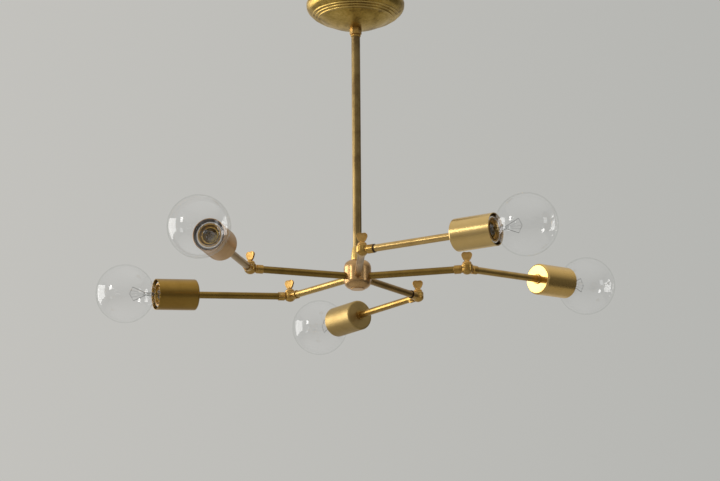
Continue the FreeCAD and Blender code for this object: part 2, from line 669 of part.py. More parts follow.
inner_arm = make_inner_arm()
knuckle_inner = moved(make_swivel_half(upper=False), turn_about((0, 0, 1), 180))
thumb_key = make_thumb_key()
swinging = {"knuckle_outer": make_swivel_half(upper=True), "outer_arm": make_outer_arm(),
            "cup": make_cup(), "lampholder": make_lampholder()}
on_holder = shift(BULB_FOOT, 0, 0).multiply(LIE_ALONG_X)
for name, piece in (("bulb_base", make_bulb_base()), ("bulb_glass", make_bulb_glass()),
                    ("bulb_mount", make_bulb_mount())):
    swinging[name] = moved(piece, on_holder)

for n in range(ARM_COUNT):
    number = "_" + str(n + 1)
    arm = shift(0, 0, ARM_LEVEL).multiply(turn_about((0, 0, 1), arm_angle(n)))
    swivel = arm.multiply(shift(SWIVEL_DISTANCE, 0, 0)).multiply(turn_about((1, 0, 0), SWIVEL_TILT[n]))
    swung = swivel.multiply(turn_about((0, 0, 1), REST_SWING[n]))
    keyed = swivel.multiply(turn_about((0, 0, 1), KEY_TURN[n]))
    export("inner_arm" + number, moved(inner_arm, arm))
    export("knuckle_inner" + number, moved(knuckle_inner, swivel))
    export("thumb_key" + number, moved(thumb_key, keyed))
    for name, piece in swinging.items():
        export(name + number, moved(piece, swung))
    axis = swivel.Rotation.multVec(FreeCAD.Vector(0, 0, 1))
    place = swivel.Base
    print("swivel" + number, [round(v, 3) for v in place], [round(v, 6) for v in axis])
print("canopy depth", round(CANOPY_DEPTH, 2), "stem top", round(STEM_TOP, 2), "arm level", round(ARM_LEVEL, 2))
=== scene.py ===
"""Five-light sputnik chandelier in aged, unlacquered brass.

The pieces follow in the order in which the lamp is put together, from the ceiling down and then
from the hub outwards. Sizes are in millimetres and are turned into metres as a mesh is finished.
"""

import math

import bmesh
import bpy
from mathutils import Matrix, Vector


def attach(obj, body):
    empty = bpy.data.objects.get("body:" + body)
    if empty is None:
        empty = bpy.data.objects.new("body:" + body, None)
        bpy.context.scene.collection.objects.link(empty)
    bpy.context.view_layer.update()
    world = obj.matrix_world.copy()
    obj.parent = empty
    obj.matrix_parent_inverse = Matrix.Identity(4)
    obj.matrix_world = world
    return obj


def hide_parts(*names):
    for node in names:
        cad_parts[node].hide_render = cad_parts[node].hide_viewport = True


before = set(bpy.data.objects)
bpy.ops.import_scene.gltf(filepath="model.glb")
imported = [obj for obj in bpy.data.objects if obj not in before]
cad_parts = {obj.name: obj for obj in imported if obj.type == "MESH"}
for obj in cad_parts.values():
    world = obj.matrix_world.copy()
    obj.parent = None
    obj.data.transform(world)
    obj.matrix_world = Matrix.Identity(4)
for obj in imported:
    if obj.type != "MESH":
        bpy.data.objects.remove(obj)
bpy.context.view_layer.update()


# -------- canopy
# The ceiling cover: a dish spun from brass sheet, with a rolled side wall, three step rings and a
# shallow convex bottom. Its patina is the most mottled on the lamp, and the ring edges are painted
# lighter all round, partly as rubbed wear and partly as a painted highlight.

MM = 0.001
canopy_radius = 67.6
canopy_wall = 1.0
canopy_lip = 3.0
canopy_round = 14.0
canopy_round_turn = 60.0
ring_count = 3
ring_width = 3.7
ring_drop = 1.6
ring_fall = 0.8
ring_land = 1.2
# Width, rings reached and margin of the lighter ring corners: partly rubbed wear, partly a painted highlight.
sheen_and_wear_width = 1.1
sheen_and_wear_rings = 2.5
sheen_and_wear_margin = 0.2
dish_depth = 13.1
dish_bulge = 2.8
dish_flat = 9.0
nipple_bore = 5.2


def arc(centre_r, centre_z, radius, start, end, steps):
    """Points on an arc in the (radius, height) plane, with angles in degrees from the radius axis."""
    turns = [math.radians(start + (end - start) * k / steps) for k in range(steps + 1)]
    return [(centre_r + radius * math.cos(t), centre_z + radius * math.sin(t)) for t in turns]


def bow(start, end, rise, steps):
    """Points from start to end along a parabola that stands rise off the chord, to its left."""
    (r0, z0), (r1, z1) = start, end
    length = math.hypot(r1 - r0, z1 - z0)
    across = (-(z1 - z0) / length, (r1 - r0) / length)
    points = []
    for k in range(steps + 1):
        share = k / steps
        off = 4 * rise * share * (1 - share)
        points.append((r0 + (r1 - r0) * share + across[0] * off, z0 + (z1 - z0) * share + across[1] * off))
    return points


def lathe(path, steps=96, closed=True):
    """A shape turned about Z from (radius, height) points in millimetres."""
    shape = bmesh.new()
    verts = [shape.verts.new((r * MM, 0, z * MM)) for r, z in path]
    edges = [shape.edges.new(pair) for pair in zip(verts, verts[1:])]
    if closed:
        edges.append(shape.edges.new((verts[-1], verts[0])))
    bmesh.ops.spin(shape, geom=verts + edges, cent=(0, 0, 0), axis=(0, 0, 1), angle=math.tau,
                   steps=steps, use_merge=True)
    bmesh.ops.remove_doubles(shape, verts=shape.verts, dist=1e-7)
    bmesh.ops.recalc_face_normals(shape, faces=shape.faces)
    return shape


def ease(shape, width, corner=32.0, segments=2):
    """Rounds every edge that turns by more than the corner's angle."""
    sharp = [e for e in shape.edges if len(e.link_faces) == 2
             and math.degrees(e.calc_face_angle(0)) > corner]
    bmesh.ops.bevel(shape, geom=sharp, offset=width * MM, offset_type="OFFSET", affect="EDGES",
                    segments=segments, profile=0.5, material=-1, clamp_overlap=True)
    return shape


def placed(name, data):
    """A new object in the scene."""
    made = bpy.data.objects.new(name, data)
    bpy.context.scene.collection.objects.link(made)
    return made


def piece(name, shape, body, slot, material, *nodes):
    """The finished mesh as an object that rides on its body and stands for its nodes."""
    mesh = bpy.data.meshes.new(name)
    shape.to_mesh(mesh)
    shape.free()
    for face in mesh.polygons:
        face.use_smooth = True
    mesh.materials.append(material)
    made = placed(name, mesh)
    shading = made.modifiers.new("even_shading", "WEIGHTED_NORMAL")
    shading.keep_sharp = True
    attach(made, body)
    if nodes:
        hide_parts(*nodes)
    return made


def add(tree, kind, inputs=None, **settings):
    """A shader node. Each input is a value, or the output socket of another node."""
    made = tree.nodes.new(kind)
    for key, value in settings.items():
        setattr(made, key, value)
    for key, value in (inputs or {}).items():
        if isinstance(value, bpy.types.NodeSocket):
            tree.links.new(value, made.inputs[key])
        else:
            made.inputs[key].default_value = value
    return made


def new_material(name):
    """A node material, its tree and its surface node."""
    made = bpy.data.materials.new(name)
    made.use_nodes = True
    return made, made.node_tree, made.node_tree.nodes["Principled BSDF"]


def ramp(tree, value, *stops):
    """A colour ramp with (place, colour) stops."""
    made = add(tree, "ShaderNodeValToRGB", {0: value})
    band = made.color_ramp.elements
    while len(band) < len(stops):
        band.new(0.5)
    for stop, (place, colour) in zip(band, stops):
        stop.position = place
        stop.color = (*colour, 1.0)
    return made.outputs["Color"]


def blend_colours(tree, share, first, second):
    """One colour mixed over another."""
    made = add(tree, "ShaderNodeMix", {0: share, 6: first, 7: second}, data_type="RGBA")
    return made.outputs[2]


def calculate(tree, operation, first, second=0.0):
    """One step of arithmetic between sockets or numbers."""
    return add(tree, "ShaderNodeMath", {0: first, 1: second}, operation=operation).outputs[0]


def remap(tree, value, low, high, to_low, to_high):
    """A value carried from one range to another and held there."""
    made = add(tree, "ShaderNodeMapRange", {0: value, 1: low, 2: high, 3: to_low, 4: to_high})
    return made.outputs[0]


def noise(tree, vector, scale, detail=4.0, rough=0.55, distortion=0.0):
    """Cloudy noise between 0 and 1, with scale in cells to a metre."""
    made = add(tree, "ShaderNodeTexNoise", {"Vector": vector, "Scale": scale, "Detail": detail,
                                            "Roughness": rough, "Distortion": distortion})
    return made.outputs["Fac"]


def own_coordinates(tree, place, seed=0.0):
    """Object coordinates seen from the piece's own middle and axes, so a pattern lies along it."""
    whole = add(tree, "ShaderNodeTexCoord").outputs["Object"]
    turn = place.to_euler()
    centred = add(tree, "ShaderNodeMapping", {"Vector": whole, "Location": place.translation,
                                              "Rotation": turn}, vector_type="TEXTURE").outputs[0]
    shifted = add(tree, "ShaderNodeVectorMath", {0: centred, 1: (seed, seed * 0.7, -seed)}, operation="ADD")
    return centred, shifted.outputs[0]


def brass(name, place, tones, rough=(0.26, 0.42), patch=28.0, mottle=0.35, turned=0.0, speck=0.5,
          seed=0.0, edge_sheen_and_wear=None, polished=None, grain=0.04):
    """Aged brass. tones are (rubbed, body, brown, dark) colours, from where hands rub to deep tarnish.

    patch is how many tarnish patches lie on a metre, mottle is how far they differ, speck is how dark
    the small spots are, turned is the depth of lathe lines about the piece's own X axis, grain is the
    depth of the finest pitting, and edge_sheen_and_wear paints lighter places, partly as rubbed wear
    and partly as a painted highlight. The end of the piece whose own X is below polished is smoother
    than the rest.
    """
    made, tree, surface = new_material(name)
    own, strewn = own_coordinates(tree, place, seed)
    large = noise(tree, strewn, patch, 5.0, 0.62, 0.35)
    small = noise(tree, strewn, patch * 9.0, 4.0, 0.6)
    dust = noise(tree, strewn, 1500.0, 2.0, 0.5)
    both = calculate(tree, "ADD", calculate(tree, "MULTIPLY", large, 0.72),
                     calculate(tree, "MULTIPLY", small, 0.28))
    bright, middle, brown, dark = tones
    uneven = remap(tree, both, 0.3, 0.7, 0.54 - 0.2 * mottle, 0.54 + 0.2 * mottle)
    colour = ramp(tree, uneven, (0.34, dark), (0.45, brown), (0.54, middle), (0.68, bright))
    spots = remap(tree, small, 0.60, 0.74, 0.0, speck)
    colour = blend_colours(tree, spots, colour, (*brown, 1.0))
    parts = add(tree, "ShaderNodeSeparateXYZ", {0: own}).outputs
    across = add(tree, "ShaderNodeCombineXYZ", {1: parts[1], 2: parts[2]}).outputs[0]
    radius = add(tree, "ShaderNodeVectorMath", {0: across}, operation="LENGTH").outputs["Value"]
    # Lighter places painted in: on the canopy a painted highlight on the ring corners, partly rubbed wear.
    if edge_sheen_and_wear:
        colour = edge_sheen_and_wear(tree, colour, radius, bright)
    tree.links.new(colour, surface.inputs["Base Color"])
    surface.inputs["Metallic"].default_value = 1.0
    haze = calculate(tree, "ADD", calculate(tree, "MULTIPLY", both, 0.7),
                     calculate(tree, "MULTIPLY", dust, 0.3))
    dull = remap(tree, haze, 0.35, 0.65, rough[1], rough[0])
    if polished:
        shiny = calculate(tree, "MULTIPLY", calculate(tree, "LESS_THAN", parts[0], polished), 0.4)
        dull = calculate(tree, "MULTIPLY", dull, calculate(tree, "SUBTRACT", 1.0, shiny))
    tree.links.new(dull, surface.inputs["Roughness"])
    height = calculate(tree, "ADD", calculate(tree, "MULTIPLY", dust, grain),
                       calculate(tree, "MULTIPLY", small, 0.12))
    if turned:
        lines = add(tree, "ShaderNodeCombineXYZ", {0: parts[0], 1: radius}).outputs[0]
        cuts = noise(tree, lines, 2600.0, 2.0, 0.7)
        height = calculate(tree, "ADD", height, calculate(tree, "MULTIPLY", cuts, turned))
    bump = add(tree, "ShaderNodeBump", {"Height": height, "Strength": 0.35, "Distance": 0.0004})
    tree.links.new(bump.outputs[0], surface.inputs["Normal"])
    return made


def upright(x=0.0, y=0.0, z=0.0):
    """The place of a piece that stands on Z: its own X axis points up."""
    return Matrix.Translation((x * MM, y * MM, z * MM)) @ Matrix.Rotation(math.radians(-90), 4, "Y")


def canopy_side(inset):
    """Rim to centre along the canopy's outside, or its inside with the wall as inset."""
    middle = canopy_radius - canopy_round
    line = [(canopy_radius - inset, 0.0)]
    line += arc(middle, -canopy_lip, canopy_round - inset, 0, -canopy_round_turn, 14)
    end_r = middle + canopy_round * math.cos(math.radians(canopy_round_turn))
    depth = canopy_lip + canopy_round * math.sin(math.radians(canopy_round_turn))
    edge = end_r - ring_land
    for _ in range(ring_count):
        line.append((edge - inset, -depth - ring_fall / 2 + inset))
        depth += ring_drop
        line.append((edge - inset, -depth - ring_fall / 2 + inset))
        depth += ring_fall
        edge -= ring_width
    line += bow((edge - inset, -depth + inset), (dish_flat, -depth - dish_depth + inset), dish_bulge, 24)
    line.append((nipple_bore, -depth - dish_depth + inset))
    return line


def ring_sheen_and_wear(tree, colour, radius, bright):
    """The corners of the three step rings are painted lighter, partly as rubbed wear and partly as a painted
    highlight.
    """
    round_width = canopy_round * (1 - math.cos(math.radians(canopy_round_turn)))
    first = (canopy_radius - round_width - ring_land) * MM
    step = ring_width * MM
    place = calculate(tree, "FLOORED_MODULO", calculate(tree, "SUBTRACT", radius, first), step)
    away = calculate(tree, "ABSOLUTE", calculate(tree, "SUBTRACT", place, step))
    near = remap(tree, away, 0.0, sheen_and_wear_width * MM, 0.75, 0.0)
    among = calculate(tree, "GREATER_THAN", radius, first - sheen_and_wear_rings * step)
    within = calculate(tree, "LESS_THAN", radius, first + sheen_and_wear_margin * MM)
    share = calculate(tree, "MULTIPLY", near, calculate(tree, "MULTIPLY", among, within))
    # The brightest tone is laid round each ring corner: painted highlight, partly rubbed wear.
    return blend_colours(tree, share, colour, (*bright, 1.0))


canopy_tones = ((0.81, 0.57, 0.178), (0.515, 0.34, 0.076), (0.248, 0.15, 0.034), (0.092, 0.057, 0.017))
# The canopy's ring corners get a painted highlight that also stands for rubbed wear.
canopy_brass = brass("canopy_patina", upright(), canopy_tones, rough=(0.26, 0.44), patch=34.0,
                     mottle=0.75, turned=0.06, speck=0.45, seed=0.31, edge_sheen_and_wear=ring_sheen_and_wear)
canopy_shape = lathe(canopy_side(0.0) + canopy_side(canopy_wall)[::-1], steps=160)
ease(canopy_shape, 0.38, corner=28.0, segments=3)
piece("canopy_shell", canopy_shape, "root", "canopy_brass", canopy_brass, "canopy")


# -------- ceiling hardware
# What the canopy hides: the offset steel crossbar with its slots, the threaded nipples, two lock
# nuts and the green ground screw. Zinc-plated steel, held by the screws of the ceiling box.

def dress(node, material):
    """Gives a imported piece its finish."""
    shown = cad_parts[node]
    shown.data.materials.clear()
    shown.data.materials.append(material)


def plated(name, pale, dull, rough):
    """Plated or painted steel with cloudy spangle and a fine rolled grain."""
    made, tree, surface = new_material(name)
    own = own_coordinates(tree, upright())[0]
    cloud = noise(tree, own, 160.0, 4.0, 0.6)
    tree.links.new(ramp(tree, cloud, (0.35, dull), (0.65, pale)), surface.inputs["Base Color"])
    tree.links.new(remap(tree, cloud, 0.3, 0.7, rough + 0.1, rough - 0.08), surface.inputs["Roughness"])
    bump = add(tree, "ShaderNodeBump", {"Height": noise(tree, own, 900.0), "Strength": 0.2,
                                        "Distance": 0.0003})
    tree.links.new(bump.outputs[0], surface.inputs["Normal"])
    surface.inputs["Metallic"].default_value = 1.0
    return made


zinc = plated("zinc_plate", (0.62, 0.63, 0.64), (0.42, 0.43, 0.45), 0.38)
for node in ("crossbar", "lock_nuts", "threaded_nipples"):
    dress(node, zinc)
ground_green = plated("ground_screw_green", (0.05, 0.30, 0.09), (0.03, 0.19, 0.06), 0.45)
dress("ground_screw", ground_green)


# -------- canopy nut
# A turned brass nut screwed up the nipple under the canopy: a chamfered hexagon over a plain ring.
# Its flats are brighter than the canopy, because it is held with a spanner.

canopy_depth = 35.42
nut_flats = 14.2
nut_height = 9.6
nut_chamfer = 1.1
nut_ring_radius = 7.0
nut_ring_height = 3.4
nut_overlap = 0.1
crown_margin = 0.02
stem_top = -(canopy_depth + nut_height + nut_ring_height)


def combine(first, second, operation):
    """Two closed shapes made one: UNION, DIFFERENCE or INTERSECT. Both are used up."""
    objects = []
    for shape in (first, second):
        mesh = bpy.data.meshes.new("part_of_a_shape")
        shape.to_mesh(mesh)
        shape.free()
        objects.append(placed("part_of_a_shape", mesh))
    step = objects[0].modifiers.new("combine", "BOOLEAN")
    step.object = objects[1]
    step.operation = operation
    step.solver = "EXACT"
    bpy.context.view_layer.update()
    result = objects[0].evaluated_get(bpy.context.evaluated_depsgraph_get())
    whole = bmesh.new()
    whole.from_mesh(result.to_mesh())
    result.to_mesh_clear()
    for made in objects:
        mesh = made.data
        bpy.data.objects.remove(made)
        bpy.data.meshes.remove(mesh)
    bmesh.ops.remove_doubles(whole, verts=whole.verts, dist=1e-6)
    return whole


def prism(sides, radius, low, high):
    """A regular prism on Z with a corner on the X axis."""
    shape = bmesh.new()
    bmesh.ops.create_cone(shape, cap_ends=True, segments=sides, radius1=radius * MM, radius2=radius * MM,
                          depth=(high - low) * MM)
    bmesh.ops.translate(shape, verts=shape.verts, vec=(0, 0, (low + high) / 2 * MM))
    return shape


nut_corner = nut_flats / math.sqrt(3)
nut_low = -canopy_depth - nut_height
hexagon = prism(6, nut_corner, nut_low, -canopy_depth)
bmesh.ops.rotate(hexagon, verts=hexagon.verts, matrix=Matrix.Rotation(math.radians(30), 3, "Z"))
crown = lathe([(0, nut_low - nut_chamfer / 2), (nut_corner - 2 * nut_chamfer, nut_low - nut_chamfer / 2),
               (nut_corner + crown_margin, nut_low + nut_chamfer / 2),
               (nut_corner + crown_margin, -canopy_depth - nut_chamfer / 2),
               (nut_corner - 2 * nut_chamfer, -canopy_depth + nut_chamfer / 2),
               (0, -canopy_depth + nut_chamfer / 2)], closed=False)
nut_body = ease(combine(hexagon, crown, "INTERSECT"), 0.18, corner=20.0)
nut_ring_edge = nut_ring_height / 4
nut_ring = lathe([(0, stem_top), (nut_ring_radius - nut_ring_edge, stem_top),
                  (nut_ring_radius, stem_top + nut_ring_edge), (nut_ring_radius, nut_low - nut_ring_edge),
                  (nut_ring_radius - nut_ring_edge, nut_low + nut_overlap), (0, nut_low + nut_overlap)],
                 closed=False)
ease(nut_ring, 0.2)
bright_tones = ((0.756, 0.47, 0.147), (0.546, 0.325, 0.088), (0.315, 0.181, 0.051), (0.147, 0.09, 0.029))
nut_brass = brass("nut_patina", upright(), bright_tones, rough=(0.2, 0.36), patch=60.0, speck=0.35)
piece("canopy_nut_body", combine(nut_body, nut_ring, "UNION"), "root", "nut_brass", nut_brass, "canopy_nut")


# -------- stem
# One straight length of drawn brass tube from the canopy nut to the hub, blotched by handling and
# lightly drawn along its length. The wires run down inside it.

stem_radius = 6.0
stem_bore = 5.1
stem_length = 316.0
hub_top = stem_top - stem_length

stem_shape = lathe([(stem_radius, hub_top), (stem_radius, stem_top), (stem_bore, stem_top),
                    (stem_bore, hub_top)], steps=64)
ease(stem_shape, 0.3)
stem_tones = ((0.428, 0.296, 0.126), (0.314, 0.212, 0.08), (0.193, 0.122, 0.049), (0.1, 0.065, 0.029))
stem_brass = brass("stem_patina", upright(), stem_tones, rough=(0.28, 0.40), patch=36.0, mottle=0.55,
                   speck=0.5, seed=1.7)
piece("stem_tube", stem_shape, "root", "stem_brass", stem_brass, "stem")


# -------- stem collar
# A tapered brass sleeve, turned from bar and pushed over the foot of the stem, where it hides the
# joint with the hub. It is polished brighter than what it joins.

collar_height = 18.0
collar_top_radius = 6.7
collar_foot_radius = 8.8
collar_foot = 1.0
collar_waist = 0.15
collar_rim = 0.5
collar_bore = 6.1

collar_top = hub_top + collar_height
collar_flank = bow((collar_foot_radius, hub_top + collar_foot),
                   (collar_top_radius, collar_top - collar_rim), -collar_waist, 10)
collar_shape = lathe([(collar_foot_radius, hub_top), *collar_flank,
                      (collar_top_radius - collar_rim, collar_top), (collar_bore, collar_top),
                      (collar_bore, hub_top)], steps=72)
ease(collar_shape, 0.25)
collar_tones = ((0.86, 0.598, 0.225), (0.72, 0.475, 0.143), (0.46, 0.29, 0.083), (0.28, 0.167, 0.045))
collar_brass = brass("collar_polish", upright(), collar_tones, rough=(0.2, 0.34), patch=50.0,
                     turned=0.05, speck=0.3, seed=2.3)
piece("stem_collar_sleeve", collar_shape, "root", "collar_brass", collar_brass, "stem_collar")


# -------- hub
# The barrel body that carries the five arms, turned from brass bar and hollow for the wire joints.
# It is half polished and has gone rosy. A flat disc screws into its foot.

hub_radius = 18.5
hub_above = 22.5
hub_below = 16.6
hub_top_radius = 9.2
hub_base_radius = 10.6
hub_shoulder = 11.5
hub_heel = 10.6
shoulder_fullness = 0.19
heel_fullness = 0.17
hub_cavity_radius = 13.2
hub_roof = 9.5
hub_floor = 2.6
cap_radius = 9.9
cap_height = 1.2
cap_edge = 0.6
cap_spigot = 8.6
cap_thread_bore = 8.7
arm_level = hub_top - hub_above


def full_flank(start, end, fullness, steps):
    """A rounded shoulder that stands off its chord by a share of the chord's length."""
    return bow(start, end, -fullness * math.hypot(end[0] - start[0], end[1] - start[1]), steps)


def raise_by(path, level):
    """The path's points, moved up to a level."""
    return [(r, z + level) for r, z in path]


shoulder = full_flank((hub_top_radius, hub_above), (hub_radius, hub_above - hub_shoulder),
                      -shoulder_fullness, 18)
heel = full_flank((hub_radius, hub_heel - hub_below), (hub_base_radius, -hub_below), -heel_fullness, 16)
cavity = [(hub_cavity_radius, hub_floor - hub_below), (hub_cavity_radius, hub_above - hub_roof)]
hub_shape = lathe(raise_by([(nipple_bore, hub_above), *shoulder, *heel, (cap_thread_bore, -hub_below),
                            (cap_thread_bore, hub_floor - hub_below), *cavity,
                            (nipple_bore, hub_above - hub_roof)], arm_level), steps=128)
ease(hub_shape, 0.35, corner=24.0)
hub_tones = ((0.804, 0.522, 0.245), (0.627, 0.38, 0.162), (0.412, 0.233, 0.088), (0.216, 0.114, 0.044))
hub_brass = brass("hub_rosy_brass", upright(z=arm_level), hub_tones, rough=(0.23, 0.33), patch=45.0,
                  mottle=0.45, turned=0.03, speck=0.35, seed=3.1)
piece("hub_barrel", hub_shape, "root", "hub_brass", hub_brass, "hub")

cap_low = -hub_below - cap_height
cap_shape = lathe(raise_by([(0, cap_low), (cap_radius - cap_edge, cap_low), (cap_radius, cap_low + cap_edge),
                            (cap_radius, -hub_below), (cap_spigot, -hub_below),
                            (cap_spigot, hub_floor - hub_below), (0, hub_floor - hub_below)], arm_level),
                  steps=96, closed=False)
ease(cap_shape, 0.2)
piece("hub_cap_disc", cap_shape, "root", "hub_brass", hub_brass, "hub_cap")


# -------- arms: where the five stand
# The arms are screwed into the hub a fifth of a turn apart. Number 1 points at the viewer, and the
# rest follow counter-clockwise from above. The lists give each arm's swing, its swivel's tilt and
# its key's turn.

arm_count = 5
arm_numbers = [str(n + 1) for n in range(arm_count)]
first_arm_angle = -85.85
swivel_distance = 151.6
rest_swing = (57.5, 58.9, 69.8, 72.1, 56.4)
swivel_tilt = (0.8, 3.4, -0.7, -3.3, 0.0)
key_turn = (86.0, 13.9, -58.2, -165.2, -242.2)
along_x = Matrix.Rotation(math.radians(90), 4, "Y")


def turn_z(degrees):
    """A turn about Z."""
    return Matrix.Rotation(math.radians(degrees), 4, "Z")


def lay_down(shape):
    """Lays a shape that was made about Z along X."""
    bmesh.ops.transform(shape, matrix=along_x, verts=shape.verts)


def copy_at(shape, place):
    """A copy of a shape, put in its place."""
    made = shape.copy()
    bmesh.ops.transform(made, matrix=place, verts=made.verts)
    return made


inner_places = []
swivel_places = []
swung_places = []
key_places = []
for n in range(arm_count):
    arm = Matrix.Translation((0, 0, arm_level * MM)) @ turn_z(first_arm_angle + 360.0 * n / arm_count)
    swivel = (arm @ Matrix.Translation((swivel_distance * MM, 0, 0))
              @ Matrix.Rotation(math.radians(swivel_tilt[n]), 4, "X"))
    inner_places.append(arm)
    swivel_places.append(swivel)
    swung_places.append(swivel @ turn_z(rest_swing[n]))
    key_places.append(swivel @ turn_z(key_turn[n]))


# -------- inner arm tubes
# Drawn brass tube, screwed into the hub at one end and into the swivel at the other. Each has
# tarnished in its own way: dark olive on arms 2 and 5, brown on arms 1 and 3, bright on arm 4.

arm_radius = 4.75
arm_bore = 3.75
tube_seat = 11.0
tube_fit = 0.1
olive = ((0.435, 0.277, 0.081), (0.309, 0.189, 0.045), (0.19, 0.112, 0.025), (0.098, 0.059, 0.017))
inner_tones = (
    ((0.594, 0.378, 0.134), (0.414, 0.249, 0.078), (0.252, 0.151, 0.045), (0.135, 0.076, 0.022)),
    olive,
    ((0.522, 0.325, 0.106), (0.36, 0.212, 0.059), (0.216, 0.125, 0.033), (0.117, 0.068, 0.022)),
    ((0.756, 0.514, 0.19), (0.612, 0.401, 0.123), (0.378, 0.234, 0.067), (0.198, 0.113, 0.033)),
    olive,
)

inner_shape = lathe([(arm_radius, hub_cavity_radius), (arm_radius, swivel_distance - tube_seat),
                     (arm_bore, swivel_distance - tube_seat), (arm_bore, hub_cavity_radius)], steps=56)
ease(inner_shape, 0.25)
lay_down(inner_shape)
for n, number in enumerate(arm_numbers):
    finish = brass("inner_arm_patina_" + number, inner_places[n], inner_tones[n], rough=(0.24, 0.36),
                   patch=40.0, speck=0.35, seed=4.0 + n)
    piece("inner_tube_" + number, copy_at(inner_shape, inner_places[n]), "root", "arm_brass", finish,
          "inner_arm_" + number)
inner_shape.free()


# -------- swivels
# A half lap in each arm: a bowl-shaped lower half on the inner tube and a flatter upper half on the
# outer one, each cast and turned in brass with a chamfered socket for its tube. At two sockets a
# near-black ring stands round the tube where it leaves the socket.

swivel_radius = 7.8
swivel_below = 7.7
swivel_above = 6.5
swivel_round = 1.9
swivel_skirt = 2.7
lap_gap = 0.05
cheek_radius = 8.2
socket_radius = 5.9
socket_end = 17.4
socket_chamfer = 0.9
cutter_margin = 2.0
dark_ring_play = 0.05
dark_ring_height = 0.85
dark_ring_sunk = 0.1
dark_ring_shown = 1.9


def dome(edge_radius, edge_height, pole, steps):
    """Points from an edge to the axis along an arc that crosses the axis squarely."""
    fall = abs(edge_height - pole)
    radius = (edge_radius ** 2 + fall ** 2) / (2 * fall)
    side = 1 if pole > edge_height else -1
    centre = pole - side * radius
    start = math.degrees(math.atan2(edge_height - centre, edge_radius))
    points = arc(0, centre, radius, start, 90 * side, steps)
    return points[:-1] + [(0, pole)]


def socket_collar():
    """The collar that takes a tube, along +X from the swivel's axis."""
    inner = (swivel_radius + cheek_radius) / 2
    waist = socket_radius - socket_chamfer
    collar = lathe([(0, 0), (waist, 0), (waist, inner), (socket_radius, inner + socket_chamfer),
                    (socket_radius, socket_end - socket_chamfer / 2),
                    (socket_radius - socket_chamfer / 2, socket_end), (arm_radius + tube_fit, socket_end),
                    (arm_radius + tube_fit, tube_seat), (0, tube_seat)], steps=64, closed=False)
    lay_down(collar)
    return collar


def swivel_half(disc, low, high):
    """A lap disc with its collar, which is cut away where the other half's disc lies."""
    collar = combine(socket_collar(), prism(96, cheek_radius, low, high), "DIFFERENCE")
    return ease(combine(disc, collar, "UNION"), 0.22, corner=35.0)


lower_disc = lathe([(0, -lap_gap), (swivel_radius, -lap_gap),
                    *dome(swivel_radius, -swivel_skirt, -swivel_below, 14)], 72, closed=False)
upper_disc = lathe([(0, lap_gap), (swivel_radius, lap_gap),
                    *arc(swivel_radius - swivel_round, swivel_above - swivel_round, swivel_round, 0, 90, 6),
                    (0, swivel_above)], 72, closed=False)
lower_half = swivel_half(lower_disc, -lap_gap, swivel_above + cutter_margin)
upper_half = swivel_half(upper_disc, -swivel_below - cutter_margin, lap_gap)
swivel_tones = ((0.754, 0.479, 0.143), (0.57, 0.34, 0.088), (0.35, 0.193, 0.048), (0.175, 0.093, 0.026))
for n, number in enumerate(arm_numbers):
    finish = brass("swivel_patina_" + number, swivel_places[n], swivel_tones, rough=(0.2, 0.36),
                   patch=90.0, speck=0.45, seed=9.0 + n)
    piece("swivel_lower_" + number, copy_at(lower_half, swivel_places[n] @ turn_z(180)), "root",
          "swivel_brass", finish, "knuckle_inner_" + number)
    piece("swivel_upper_" + number, copy_at(upper_half, swung_places[n]), "arm_" + number,
          "swivel_brass", finish, "knuckle_outer_" + number)
lower_half.free()
upper_half.free()

# A near-black ring round the tube at the mouth of two sockets: the outer one of arm 1 and the inner one of
# arm 3.
dark_socket_ring = lathe([(arm_radius + dark_ring_play, socket_end - dark_ring_sunk),
                     (arm_radius + dark_ring_height, socket_end - dark_ring_sunk),
                     (arm_radius + dark_ring_height, socket_end + dark_ring_shown),
                     (arm_radius + dark_ring_play, socket_end + dark_ring_shown)], steps=48)
ease(dark_socket_ring, 0.12)
lay_down(dark_socket_ring)
black_tones = ((0.16, 0.10, 0.05), (0.08, 0.05, 0.03), (0.05, 0.03, 0.02), (0.03, 0.02, 0.015))
for name, place, body in (("thread_ring_outer_1", swung_places[0], "arm_1"),
                          ("thread_ring_inner_3", swivel_places[2] @ turn_z(180), "root")):
    dark_ring_finish = brass(name + "_near_black", place, black_tones, rough=(0.4, 0.55), patch=200.0, seed=17.0)
    piece(name, copy_at(dark_socket_ring, place), body, "swivel_brass", dark_ring_finish)
dark_socket_ring.free()


# -------- thumb keys
# The wing screw that clamps a swivel: a pressed, dished paddle on a flared foot, with the clamping
# screw under it. Brass, rubbed matt and bright where fingers turn it.

screw_radius = 2.4
screw_reach = 5.6
foot_radius = 6.2
foot_edge = 0.7
foot_height = 4.0
key_neck_radius = 2.5
paddle_width = 14.5
paddle_height = 12.4
paddle_lobe = 4.2
paddle_dip_turn = 14.0
paddle_thickness = 2.8
paddle_dish = 0.55
foot_hollow = 0.95
flank_bow = 0.7
neck_rise = 1.6

foot_under = swivel_above + 2 * lap_gap
foot_brim = foot_under + foot_edge
foot_top = foot_under + foot_height
foot_flare = bow((foot_radius, foot_brim), (key_neck_radius, foot_top), -foot_hollow, 12)
stalk = lathe([(0, -screw_reach), (screw_radius, -screw_reach), (screw_radius, foot_under),
               (foot_radius, foot_under), *foot_flare, (key_neck_radius, foot_top + neck_rise),
               (0, foot_top + neck_rise)], 56, closed=False)
ease(stalk, 0.18, corner=35.0)

